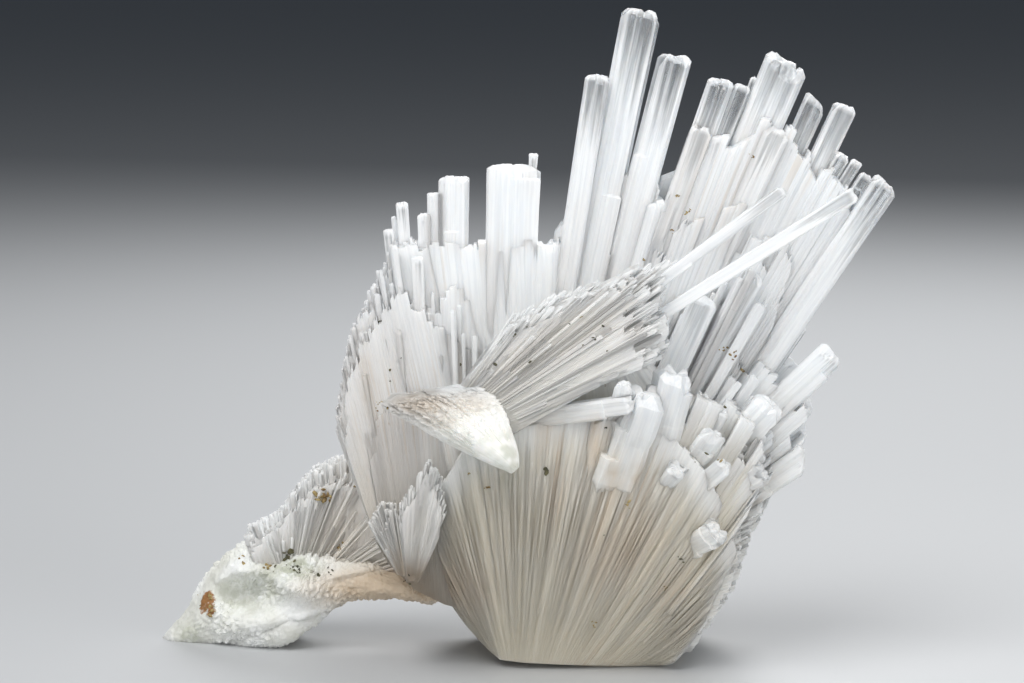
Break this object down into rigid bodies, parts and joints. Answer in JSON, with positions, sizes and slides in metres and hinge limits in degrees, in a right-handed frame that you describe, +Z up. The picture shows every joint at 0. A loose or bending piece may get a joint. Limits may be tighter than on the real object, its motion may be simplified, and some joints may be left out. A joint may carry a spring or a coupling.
{
  "type": "scolecite crystal specimen",
  "caption": "Cluster of long prismatic zeolite crystals in radiating sprays, grown together as one solid, that stands on a flat base and a chalky foot spray.",
  "frame": {"origin": "middle of the flat face that the main spray stands on", "axes": "+Z up, -Y towards the viewer of the picture, +X to the viewer's right; the foot spray reaches towards -X"},
  "size_m": [0.1449, 0.0676, 0.1293],
  "materials": {
    "scolecite": "satin",
    "chalky_scolecite": "matte",
    "stain_grains": "matte"
  },
  "bodies": {
    "root": {"scolecite_cluster": "scolecite"}
  },
  "joints": []
}
